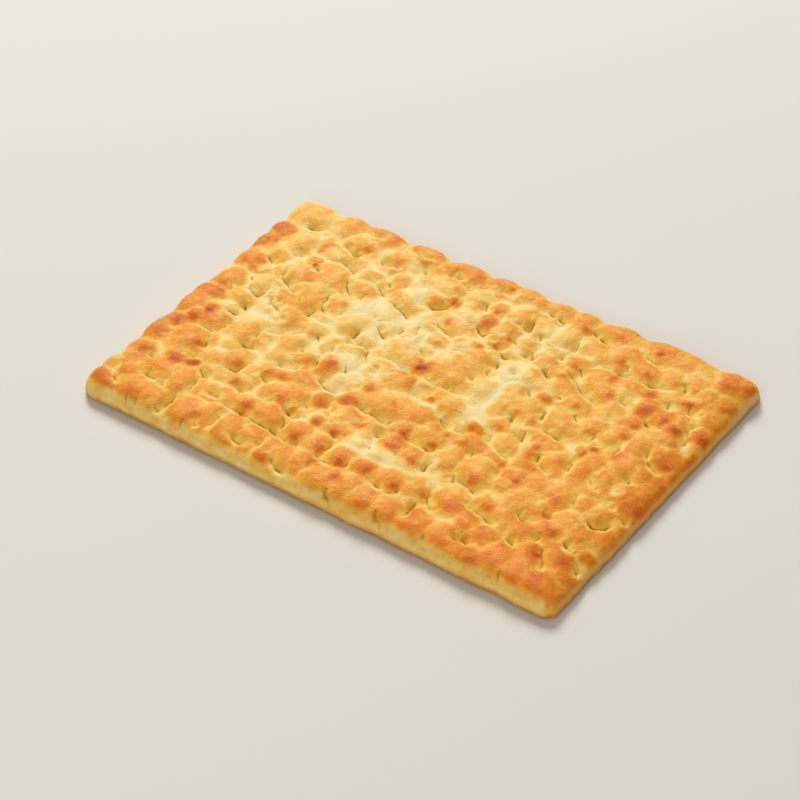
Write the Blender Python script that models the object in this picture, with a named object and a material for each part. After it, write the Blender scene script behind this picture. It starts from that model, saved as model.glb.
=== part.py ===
"""A whole tray-baked sheet of focaccia: one closed solid, flat underneath, with a
rounded bulging side wall, an outline that puffs between the finger marks, and a
top of uneven pillows divided by the creases that the fingertips left.

Units are metres, +Z is up, +X runs along the long side and +Y to the back.
The origin is the middle of the flat underside.
"""

import math

import bmesh
import bpy
import numpy as np
from mathutils import Vector, noise

# ---------------------------------------------------------------- driving sizes
LENGTH = 0.580  # long side, a full baker's tray
DEPTH = 0.368  # short side
HEIGHT = 0.0250  # top of the highest pillow
MEAN_TOP = 0.0212  # height of a pillow of middle size
CORNER_LEFT = (0.020, 0.016)  # plan radii of the left corners, front and back
CORNER_RIGHT = (0.012, 0.018)  # and of the right ones
SHOULDER = 0.015  # how far in from the edge the top starts to round over
SHOULDER_Z = 0.0095  # where the rounded shoulder meets the side wall
END_SHOULDER = 0.0075  # the same two at the right end, where the sheet thins
END_SHOULDER_Z = 0.0068
THINNED = 0.0090  # how much lower the top is at the right end
THIN_REACH = 0.038  # how far in from there that fades out
THIN_CORNER = 0.45  # share of it missing at the two right corners
# rows of the side wall below that: share of the rim's height, bulge, and share
# of the dents kept
WALL_ROWS = ((0.66, 0.0009, 0.8), (0.25, -0.0001, 0.55), (0.0, -0.0034, 0.4))

CREASE_DEPTH = 0.0068  # below the pillows on either side
CREASE_WIDTH = 0.0072  # where the dip has faded to a third
CREASE_LENGTH = 0.024  # one fingertip
CREASE_BOW = 0.0035  # the middle of a mark lies this much nearer the front
SWELL = 0.0013  # slow rise and fall of the whole top
SWELL_LENGTH = 0.085
LUMP = 0.0009  # pillow to pillow
LUMP_LENGTH = 0.028
SCALLOP_REACH = 0.026  # how far in from the edge a dent in the outline fades

CELLS_X, CELLS_Y = 76, 48  # cells of the top, along and across
EDGE_CELLS = (0.0, 0.0024, 0.0062, 0.0112)  # closer rings next to the edge
SEED_TURN, SEED_DEPTH = 11.3, 47.9  # where the noise is read for each mark

# Rows of fingertip marks from the back to the front: the row's Y, then the X of
# each mark in it, in millimetres.
FINGER_ROWS = (
    (154, -172, -110, -60, 0, 62, 121, 184),
    (130, -238, -188, -138, -94, -37, 53, 110, 170, 233),
    (107, -262, -214, -165, -112, -52, -2, 73, 138, 203, 252),
    (86, -222, -152, -105, -64, 18, 52, 79, 134, 235, 264),
    (71, -245, -194, -132, -75, -12, 48, 108, 160, 196, 272),
    (46, -210, -152, -125, -92, -40, 58, 112, 198, 231),
    (30, -241, -176, -138, -68, -18, 50, 137, 166, 255),
    (8, -223, -190, -152, -80, -30, 30, 116, 160, 204, 265),
    (-13, -217, -120, -58, 22, 140, 203, 259),
    (-33, -224, -175, -97, -65, -37, 62, 87, 114, 170, 236),
    (-55, -215, -170, -120, -65, -5, 137, 184, 233, 283),
    (-78, -259, -165, -126, -68, -40, 20, 58, 82, 150, 268),
    (-103, -222, -184, -135, -98, -27, 24, 89, 128, 205, 261),
    (-126, -247, -180, -149, -66, -8, 113, 170, 232, 283),
    (-142, -225, -127, -80, -44, 5, 62, 85, 124, 212, 254),
    (-164, -254, -188, -140, -90, -32, -7, 110, 176),
)
# Where the outline is drawn in between the puffs of each side: the distance along
# it, and how deep, in millimetres.
DENTS_BACK = (
    (-235, 4.4), (-195, 2.2), (-143, 5.0), (-84, 5.4), (-30, 4.6), (8, 1.4),
    (40, 4.4), (76, 1.2), (110, 3.4), (160, 4.4), (228, 2.4), (243, 1.8),
)
DENTS_LEFT = ((138, 4.6), (108, 2.8), (82, 4.0), (50, 3.8), (26, 3.4), (-44, 4.0), (-96, 3.2), (-120, 3.0))
DENTS_RIGHT = ((96, 0.9), (40, 0.5), (-14, 1.0), (-118, 0.6))
DENTS_FRONT = ((-188, 1.2), (-96, 0.8), (32, 1.2), (92, 1.5), (142, 0.9), (228, 1.4))
DENT_HALF = 0.011
DENT_FALL = 1.3  # a dent's outline: below 2 it has a point, as between two puffs
DENT_DROP = 0.6  # how far the rim sinks at a dent, as a share of its depth


def value_noise(x, y, length, where):
    """Smooth noise from -1 to 1 over a plane, at one length."""
    return noise.noise(Vector((x / length, y / length, where)))


def eased(value, low, high):
    """0 below low, 1 above high, and smooth between them."""
    t = min(max((value - low) / (high - low), 0.0), 1.0)
    return t * t * (3 - 2 * t)


def ring_steps(cells, side):
    """Distances across one side, with closer lines next to both edges."""
    middle = cells - 2 * (len(EDGE_CELLS) - 1)
    inner = side - 2 * EDGE_CELLS[-1]
    at = list(EDGE_CELLS[:-1])
    at += [EDGE_CELLS[-1] + inner * i / middle for i in range(middle + 1)]
    at += [side - e for e in reversed(EDGE_CELLS[:-1])]
    return [a - side / 2 for a in at]


def rounded(x, y):
    """Moves a point of the square-cornered sheet into the round-cornered one.

    Also returns the way out of the sheet there and how far in the edge is."""
    hx, hy = LENGTH / 2, DEPTH / 2
    r = (CORNER_RIGHT if x > 0 else CORNER_LEFT)[1 if y > 0 else 0]
    cx = min(max(x, -hx + r), hx - r)
    cy = min(max(y, -hy + r), hy - r)
    ox, oy = x - cx, y - cy
    inside = min(hx - abs(x), hy - abs(y))
    if ox and oy:
        square, true = max(abs(ox), abs(oy)), math.hypot(ox, oy)
        ox, oy = ox * square / true, oy * square / true
        return cx + ox, cy + oy, Vector((ox, oy, 0)).normalized(), inside
    # along a side the way out is square to the nearer one
    if hx - abs(x) < hy - abs(y):
        out = Vector((math.copysign(1, x), 0, 0))
    else:
        out = Vector((0, math.copysign(1, y), 0))
    return x, y, out, inside


def dent(x, y, out):
    """How far the outline is drawn in at this place."""
    if abs(out.x) > abs(out.y):
        marks, along = (DENTS_RIGHT if out.x > 0 else DENTS_LEFT), y
    else:
        marks, along = (DENTS_BACK if out.y > 0 else DENTS_FRONT), x
    pulled = [deep / 1000 * math.exp(-((abs(along - at / 1000) / DENT_HALF) ** DENT_FALL)) for at, deep in marks]
    straight = eased(max(abs(out.x), abs(out.y)), 0.75, 0.98)
    return straight * (max(pulled) + 0.0004 * value_noise(x, y, 0.020, 3.0))


def finger_marks():
    """Each mark as a short bowed groove: its points along it, and its depth."""
    marks = []
    for row, (y, *xs) in enumerate(FINGER_ROWS):
        for x in xs:
            mx, my = x / 1000, y / 1000
            turn = 0.55 * value_noise(mx, my, 0.019, SEED_TURN)
            deep = 1.0 + 0.45 * value_noise(mx, my, 0.017, SEED_DEPTH)
            half = 0.5 * CREASE_LENGTH * (1.0 + 0.5 * value_noise(my, mx, 0.023, SEED_DEPTH))
            along = np.linspace(-1, 1, 7)
            bow = CREASE_BOW * (along**2 - 0.5)
            px = mx + math.cos(turn) * along * half - math.sin(turn) * bow
            py = my + math.sin(turn) * along * half + math.cos(turn) * bow
            marks.append((px, py, deep))
    return marks


def crease(x, y, marks):
    """How far the top is pressed in at (x, y), as a share of the full depth."""
    total = 0.0
    for px, py, deep in marks:
        near = (px - x) ** 2 + (py - y) ** 2
        best = float(near.min())
        if best < (3 * CREASE_WIDTH) ** 2:
            total += (deep * math.exp(-best / CREASE_WIDTH**2)) ** 2.5
    return min(total**0.4, 1.25)


def top_height(x, y, marks):
    swell = SWELL * value_noise(x, y, SWELL_LENGTH, 5.0)
    lump = LUMP * value_noise(x, y, LUMP_LENGTH, 9.0)
    thinned = THINNED * max(0.0, 1 - (LENGTH / 2 - x) / THIN_REACH) ** 2
    thinned *= 1 - THIN_CORNER * eased(abs(y), DEPTH / 2 - 0.044, DEPTH / 2 - 0.006)
    return MEAN_TOP + swell + lump - thinned - CREASE_DEPTH * (crease(x, y, marks) - 0.18)


def build_sheet():
    marks = finger_marks()
    xs, ys = ring_steps(CELLS_X, LENGTH), ring_steps(CELLS_Y, DEPTH)
    mesh = bpy.data.meshes.new("focaccia")
    bm = bmesh.new()
    bmesh.ops.create_grid(bm, x_segments=CELLS_X, y_segments=CELLS_Y, size=0.5)

    # Each point of the outline remembers where it started, its way out and its
    # dent, and the rows extruded from it inherit all three.
    first = bm.verts.layers.float_vector.new("first")
    outward = bm.verts.layers.float_vector.new("outward")
    dented = bm.verts.layers.float.new("dented")

    # the top: pillows and creases, rounded over at the shoulder
    for v in bm.verts:
        i, j = round((v.co.x + 0.5) * CELLS_X), round((v.co.y + 0.5) * CELLS_Y)
        x, y, out, inside = rounded(xs[i], ys[j])
        fade = max(0.0, 1.0 - inside / SCALLOP_REACH) ** 1.5
        pull = dent(x, y, out) * fade
        top = top_height(x, y, marks) - DENT_DROP * pull
        end = eased(out.x, 0.75, 0.98)
        shoulder = SHOULDER + (END_SHOULDER - SHOULDER) * end
        rim = SHOULDER_Z + (END_SHOULDER_Z - SHOULDER_Z) * end
        if inside < shoulder:
            t = 1.0 - inside / shoulder
            top = rim + (top - rim) * math.sqrt(max(0.0, 1.0 - t * t))
        v.co = Vector((x - out.x * pull, y - out.y * pull, top))
        v[first], v[outward], v[dented] = (x, y, top), out, pull

    # the side wall, row by row down to the flat underside
    ring = [e for e in bm.edges if e.is_boundary]
    for share, bulge, kept in WALL_ROWS:
        grown = bmesh.ops.extrude_edge_only(bm, edges=ring)["geom"]
        ring = [g for g in grown if isinstance(g, bmesh.types.BMEdge)]
        for v in (g for g in grown if isinstance(g, bmesh.types.BMVert)):
            v.co = v[first] + v[outward] * (bulge - kept * v[dented])
            v.co.z = share * v[first].z
        ring = [e for e in ring if e.is_boundary]

    # the flat underside
    bmesh.ops.holes_fill(bm, edges=ring, sides=0)
    under = [f for f in bm.faces if len(f.verts) > 4]
    bmesh.ops.triangulate(bm, faces=under, quad_method="BEAUTY", ngon_method="BEAUTY")
    bmesh.ops.recalc_face_normals(bm, faces=bm.faces)

    # brought to the driving sizes, with the underside at zero
    low = Vector([min(v.co[k] for v in bm.verts) for k in range(3)])
    high = Vector([max(v.co[k] for v in bm.verts) for k in range(3)])
    middle, size = (low + high) / 2, high - low
    for v in bm.verts:
        v.co.x = (v.co.x - middle.x) * LENGTH / size.x
        v.co.y = (v.co.y - middle.y) * DEPTH / size.y
        v.co.z = (v.co.z - low.z) * HEIGHT / size.z
    bm.to_mesh(mesh)
    bm.free()
    mesh.shade_smooth()
    return mesh


def crust_material():
    made = bpy.data.materials.new("baked_crust")
    made.use_nodes = True
    shader = made.node_tree.nodes["Principled BSDF"]
    shader.inputs["Base Color"].default_value = (0.78, 0.42, 0.12, 1.0)
    shader.inputs["Roughness"].default_value = 0.55
    shader.inputs["Metallic"].default_value = 0.0
    return made


def main():
    for old in list(bpy.data.objects):
        bpy.data.objects.remove(old, do_unlink=True)
    food = bpy.data.collections.new("focaccia")
    bpy.context.scene.collection.children.link(food)
    sheet = bpy.data.objects.new("focaccia", build_sheet())
    sheet.data.materials.append(crust_material())
    food.objects.link(sheet)


main()
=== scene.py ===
import math

import bpy
import numpy as np
from mathutils import Matrix, Vector


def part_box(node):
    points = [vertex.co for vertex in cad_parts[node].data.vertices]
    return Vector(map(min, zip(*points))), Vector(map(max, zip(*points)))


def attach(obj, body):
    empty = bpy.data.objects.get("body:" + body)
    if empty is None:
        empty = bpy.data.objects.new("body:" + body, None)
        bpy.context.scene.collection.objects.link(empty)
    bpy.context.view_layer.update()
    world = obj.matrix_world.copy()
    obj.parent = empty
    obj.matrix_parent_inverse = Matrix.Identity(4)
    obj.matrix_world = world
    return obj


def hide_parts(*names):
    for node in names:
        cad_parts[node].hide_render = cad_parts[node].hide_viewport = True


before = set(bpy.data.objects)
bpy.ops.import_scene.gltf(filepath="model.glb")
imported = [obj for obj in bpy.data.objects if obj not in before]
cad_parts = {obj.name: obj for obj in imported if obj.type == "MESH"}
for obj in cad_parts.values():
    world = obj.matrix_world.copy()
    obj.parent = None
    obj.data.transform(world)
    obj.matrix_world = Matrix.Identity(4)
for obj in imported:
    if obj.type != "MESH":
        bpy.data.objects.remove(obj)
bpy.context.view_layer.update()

# =============================================================================
# A whole tray-baked sheet of focaccia. One mesh stands for the solid: a fine
# skin of pillows and finger creases over a rounded, bulging side wall. What the
# oven did to each point of that skin (browning, creases, blisters) is worked
# out with the shape, kept on its points, and read by the crust material.
# Lengths here are in millimetres until the mesh is made.
# =============================================================================
node_low, node_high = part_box("focaccia")
LENGTH = (node_high.x - node_low.x) * 1000
DEPTH = (node_high.y - node_low.y) * 1000
HX, HY = LENGTH / 2, DEPTH / 2

CORNERS = (20.0, 12.0, 16.0, 18.0)  # plan radii: front left, front right, back left, back right
SHOULDER = 17.0  # width of the rounding at the edge of the top
SHOULDER_Z = 9.0  # where the rounding meets the side wall
RIGHT_SHOULDER, RIGHT_Z = 6.0, 6.0  # and the same at the right end, where the sheet thins
FLOOR = 19.4  # the low skin between the pillows
HIGHEST = 25.0
PILLOW, PILLOW_GAIN = 2.0, 0.13  # rise of a pillow, and how it grows with its size
SPREAD = 1.6  # a pillow's foot reaches this much further than what shows of it
MERGED, PARTED = 1.9, 0.35  # how softly neighbours run together, at most and at least
PALE, BARE = 0.20, 0.12  # browning of the dough between the pillows, and its weight
CREASE = 5.9  # depth of a full finger crease
CREASE_REACH = 12.0
PITCH = 1.70  # spacing of the skin's points
SHOULDER_RINGS = 11

# The finger creases: strength, then the points that each runs through.
CREASES = (
    # back left
    (0.8, -248, 132, -228, 137), (0.8, -201, 131, -184, 128, -174, 123, -160, 134),
    (0.8, -150, 134, -139, 127, -126, 129, -113, 132), (1.0, -95, 142, -93, 140),
    (1.0, -71, 150, -66, 148, -50, 150), (0.7, -38, 141, -36, 139), (0.5, -79, 120, -77, 119),
    (1.0, -6, 132, -1, 119), (0.6, -11, 154, 10, 154), (0.5, -188, 158, -158, 159),
    (0.5, -123, 158, -96, 159), (0.7, -213, 118, -216, 104), (1.0, -223, 94, -221, 92),
    (0.8, -200, 85, -186, 80), (0.8, -177, 106, -158, 100, -153, 94),
    (1.0, -154, 87, -150, 80, -141, 71, -131, 69), (0.6, -123, 77, -123, 66),
    (1.0, -115, 107, -107, 98), (0.8, -125, 96, -111, 89, -102, 83), (0.6, -94, 118, -94, 105),
    (1.0, -93, 81, -79, 77, -62, 70), (0.8, -65, 96, -63, 94),
    (1.0, -60, 99, -50, 97, -40, 105, -36, 112, -37, 122), (1.0, -35, 81, -23, 74, -6, 69),
    (0.6, -46, 70, -37, 49), (0.6, -55, 56, -55, 43), (1.0, -252, 74, -238, 65),
    (0.7, -243, 56, -241, 54), (1.0, -217, 68, -215, 53, -204, 48, -195, 43, -185, 41),
    (0.9, -152, 60, -152, 50, -146, 34, -133, 30), (1.0, -150, 28, -153, 17),
    (0.4, -150, 17, -125, 17), (0.8, -126, 40, -124, 38), (0.6, -92, 56, -90, 49),
    (1.0, -81, 42, -71, 36, -61, 31), (0.9, -91, 26, -91, 14),
    (1.0, -98, 9, -88, 7, -77, 12, -66, 9, -63, 1, -54, -8), (0.9, -245, 37, -238, 32),
    (0.8, -236, 24, -230, 19, -217, 17, -213, 30), (1.0, -203, 24, -198, 14, -185, 9, -178, 4),
    (0.8, -177, 34, -175, 32), (0.6, -172, 3, -168, -2), (0.7, -257, 21, -248, 7),
    (1.0, -221, 0, -213, -10), (1.0, -125, 1, -116, -9), (1.0, -25, 39, -11, 31),
    (0.7, -45, 10, -30, 7, -15, 3, -2, 3), (0.6, -261, 111, -259, 109), (0.6, -266, 93, -264, 91),
    # back right
    (1.0, 53, 153, 77, 148, 77, 142), (1.0, 109, 152, 123, 147, 134, 144),
    (0.8, 169, 154, 179, 147, 190, 145, 199, 142), (1.0, 230, 134, 236, 122),
    (0.7, 36, 121, 50, 119, 57, 117), (1.0, 51, 133, 55, 119), (0.9, 68, 119, 73, 112),
    (0.7, 98, 115, 113, 117, 130, 118), (0.8, 108, 131, 111, 118), (0.6, 141, 112, 138, 104),
    (0.8, 168, 127, 172, 117), (0.7, 150, 112, 200, 114, 225, 118),
    (1.0, 242, 117, 250, 112, 253, 103, 262, 100), (0.7, 257, 95, 264, 88),
    (0.7, 230, 103, 235, 94), (1.0, 267, 81, 270, 72, 274, 60), (0.8, 226, 67, 235, 61),
    (0.6, 202, 111, 204, 109), (0.6, 199, 88, 201, 86), (0.7, 190, 78, 200, 76),
    (1.0, 5, 96, 17, 90, 22, 95), (0.8, 51, 99, 53, 97), (1.0, 79, 99, 78, 90, 82, 84, 65, 85),
    (0.7, 106, 102, 108, 100), (1.0, 130, 99, 138, 90), (1.0, 25, 80, 46, 78, 57, 72, 71, 75),
    (1.0, 100, 77, 107, 73, 115, 70), (1.0, 117, 85, 134, 83, 150, 71, 163, 67, 175, 61),
    (1.0, 55, 64, 60, 55), (0.6, 79, 58, 81, 56), (1.0, 137, 53, 139, 51), (0.7, 197, 53, 199, 51),
    (0.9, 52, 46, 61, 41, 65, 39), (1.0, 164, 39, 172, 31), (0.7, 105, 47, 113, 37),
    (0.8, 49, 28, 51, 26), (0.9, 137, 30, 141, 14), (1.0, 198, 25, 198, 15), (0.7, 204, 16, 206, 14),
    (0.8, 227, 27, 227, 3), (1.0, 254, 28, 256, 26), (0.8, 259, 22, 273, 14),
    (0.8, 1, 5, 28, 3, 61, 5), (0.8, 113, 5, 119, 1), (0.9, 150, 5, 173, 2, 180, -1),
    # front left
    (0.9, -232, -19, -223, -20, -213, -19), (1.0, -177, -28, -174, -40),
    (0.8, -174, -24, -163, -21, -150, -12, -140, -7), (0.7, -213, -27, -213, -47),
    (0.7, -240, -53, -215, -53), (1.0, -221, -56, -215, -65, -209, -79),
    (0.9, -181, -54, -162, -52), (0.6, -155, -37, -153, -39),
    (0.8, -135, -56, -121, -58, -111, -55, -106, -48), (0.7, -96, -5, -96, -15),
    (1.0, -98, -31, -96, -43), (0.9, -70, -22, -65, -28, -62, -32), (0.6, -37, -8, -37, -20),
    (0.7, -39, -34, -37, -46), (1.0, -123, -26, -121, -28),
    (0.8, -83, -52, -69, -58, -58, -59, -50, -57), (1.0, -132, -82, -120, -85),
    (0.7, -260, -68, -258, -70), (0.8, -209, -95, -207, -97), (0.7, -223, -92, -221, -94),
    (0.8, -172, -90, -158, -88, -154, -75), (1.0, -192, -105, -181, -112, -175, -111),
    (1.0, -136, -109, -134, -111), (0.7, -248, -116, -246, -118),
    (0.8, -182, -115, -180, -128, -177, -142), (1.0, -160, -132, -142, -127),
    (0.9, -136, -134, -119, -135, -88, -137, -69, -138, -58, -140, -44, -143, -35, -142),
    (0.7, -100, -104, -96, -107), (1.0, -79, -106, -67, -111, -61, -108), (0.7, -80, -99, -78, -101),
    (1.0, -65, -90, -63, -92), (1.0, -49, -79, -47, -81), (1.0, -33, -83, -31, -85),
    (0.7, -31, -94, -29, -96), (0.9, -25, -64, -8, -67, 5, -68, 19, -70, 22, -67),
    (0.8, -73, -115, -66, -125, -65, -134), (0.6, -37, -136, -37, -142), (0.8, -7, -121, -7, -136),
    (0.8, -13, -140, -6, -144, 8, -145), (0.7, -21, -112, -6, -113),
    (1.0, -194, -173, -185, -175, -184, -150), (1.0, -141, -171, -139, -173),
    (0.8, -126, -150, -126, -169), (0.6, -96, -138, -96, -145),
    (1.0, -100, -167, -83, -169, -75, -164), (0.7, -67, -150, -67, -165),
    (1.0, -50, -165, -36, -175, -23, -178), (0.6, -7, -152, -7, -163),
    (1.0, -233, -142, -217, -142), (0.6, -208, -144, -206, -146), (0.7, -266, -151, -264, -153),
    (0.8, -258, -161, -248, -167),
    # front right
    (1.0, 17, -19, 19, -21), (1.0, 26, -12, 28, -14), (1.0, 55, -33, 67, -41, 74, -45),
    (0.8, 78, -41, 92, -37), (0.6, 83, -22, 83, -30), (1.0, 112, -25, 116, -36),
    (1.0, 138, -4, 142, -22), (0.7, 113, 4, 122, -9), (1.0, 168, -25, 172, -35),
    (0.9, 201, -17, 204, -31), (0.8, 226, -25, 232, -33, 240, -38), (1.0, 258, -9, 260, -11),
    (0.7, 257, -28, 259, -30), (0.8, 125, -40, 136, -44, 150, -48), (0.8, 175, -36, 190, -43),
    (0.6, 89, -46, 91, -48), (0.6, 264, -45, 266, -47), (0.8, 112, -55, 116, -64),
    (0.7, 231, -53, 235, -68), (1.0, 257, -75, 267, -78, 278, -67), (0.7, 280, -54, 287, -56),
    (0.9, 36, -75, 57, -76, 73, -77, 79, -77, 80, -72), (1.0, 20, -89, 28, -83),
    (1.0, 90, -88, 88, -97, 87, -104), (1.0, 117, -92, 121, -101),
    (1.0, 123, -96, 138, -98, 150, -102), (0.6, 150, -65, 150, -73), (0.7, 217, -92, 230, -91),
    (0.9, 195, -100, 205, -106, 215, -103), (1.0, 253, -109, 261, -113, 269, -115),
    (1.0, 233, -115, 229, -125), (1.3, 240, -125, 251, -138, 256, -148),
    (0.7, 280, -128, 287, -137), (1.0, 153, -119, 169, -121, 180, -125, 186, -126),
    (1.0, 207, -133, 218, -137), (1.0, 111, -121, 115, -132, 123, -139, 128, -142),
    (1.2, 109, -139, 110, -150, 110, -163), (0.6, 85, -136, 85, -145),
    (0.8, 50, -141, 67, -145, 73, -145), (0.7, 23, -132, 23, -143), (0.6, 0, -145, 20, -145),
    (0.7, 26, -105, 29, -111), (1.0, 172, -156, 176, -158, 182, -160), (0.8, 176, -158, 165, -162),
)

# Dark blisters: x, y, radius, how dark.
BLISTERS = (
    (-170, 142, 7, 0.9), (-131, 143, 7, 0.9), (-213, 122, 6, 0.8), (-270, 123, 9, 0.6),
    (-203, 93, 5, 1.0), (-272, 98, 7, 0.7), (-126, 85, 6, 0.6), (-196, 72, 6, 0.5),
    (-260, 67, 6, 0.5), (-135, 57, 5, 0.6), (-265, 20, 6, 0.6), (-258, 4, 7, 0.6),
    (-41, 122, 7, 1.0), (-62, 112, 6, 0.6), (-51, 138, 5, 0.7), (-27, 91, 5, 0.8),
    (5, 132, 5, 0.8), (7, 111, 7, 1.0), (25, 122, 4, 0.8), (40, 102, 5, 1.0),
    (33, 88, 5, 1.0), (21, 76, 5, 0.8), (-17, 58, 4, 0.8), (-6, 21, 12, 1.7),
    (20, 9, 5, 0.7), (-17, 3, 5, 0.7), (97, 154, 7, 0.9), (0, 168, 6, 0.9), (-42, 164, 7, 0.7),
    (135, 163, 5, 0.8), (182, 163, 6, 1.0), (188, 130, 6, 0.9), (260, 156, 8, 0.9),
    (278, 165, 6, 0.8), (277, 130, 6, 0.8), (246, 117, 6, 0.9), (205, 107, 7, 0.8),
    (163, 105, 6, 0.9), (155, 132, 8, 0.6), (120, 105, 6, 0.8), (118, 85, 7, 0.8),
    (173, 84, 6, 0.9), (214, 85, 8, 1.2), (253, 74, 7, 1.0), (237, 82, 6, 0.8),
    (280, 83, 7, 0.7), (122, 47, 6, 0.7), (217, 60, 6, 0.8), (217, 42, 6, 0.7),
    (226, 15, 6, 0.9), (204, 12, 5, 0.9), (197, 3, 5, 0.7), (190, 32, 6, 0.7),
    (113, 18, 6, 0.5), (155, 55, 6, 0.6), (268, 30, 10, 0.5), (132, 15, 5, 0.5),
    (-246, -25, 9, 1.3), (-256, -42, 8, 0.9), (-265, -57, 7, 0.9), (-227, -104, 7, 1.0),
    (-206, -97, 6, 1.0), (-265, -107, 7, 0.8), (-275, -78, 7, 0.7), (-224, -73, 8, 0.9),
    (-250, -72, 6, 0.6), (-168, -75, 7, 0.7), (-110, -37, 7, 0.6), (-131, -68, 6, 0.8),
    (-117, -66, 6, 0.8), (-118, -120, 7, 1.0), (-150, -97, 5, 0.8), (-115, -128, 8, 0.7),
    (-275, -160, 8, 0.7), (-230, -162, 11, 0.5), (-150, -160, 12, 0.5), (-87, -26, 7, 1.4),
    (28, -13, 4, 1.0), (88, -25, 5, 0.8), (4, -41, 6, 0.7), (-37, -58, 8, 1.0),
    (-30, -35, 6, 0.7), (36, -69, 8, 1.0), (-5, -80, 8, 1.4), (-58, -74, 7, 0.8),
    (-45, -99, 6, 0.8), (-22, -102, 7, 1.0), (-95, -93, 8, 0.8), (-78, -97, 6, 0.7),
    (40, -89, 6, 0.9), (67, -95, 6, 0.9), (70, -66, 6, 0.7), (-50, -130, 8, 0.8),
    (-18, -129, 7, 0.9), (10, -134, 8, 1.0), (38, -128, 8, 0.8), (75, -130, 8, 0.8),
    (-13, -147, 5, 0.9), (21, -152, 6, 0.9), (-60, -168, 7, 0.7), (65, -168, 8, 0.6),
    (168, -64, 7, 0.9), (143, -52, 6, 0.7), (185, -22, 7, 0.6), (132, -84, 8, 0.9),
    (233, -103, 8, 1.1), (216, -86, 8, 0.8), (240, -132, 9, 1.0), (262, -125, 8, 0.7),
    (257, -160, 10, 0.8), (165, -108, 7, 0.8), (213, -66, 8, 0.8), (109, -145, 6, 0.9),
    (135, -124, 8, 0.8), (105, -125, 6, 0.7), (180, -135, 8, 0.7), (195, -165, 10, 0.7),
    (155, -13, 5, 0.8), (134, -17, 5, 0.6), (155, -28, 5, 0.5), (215, -18, 7, 0.6),
    (280, -30, 9, 0.6), (110, -12, 6, 0.5), (110, -150, 4, 0.6), (170, -150, 10, 0.5),
)

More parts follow.
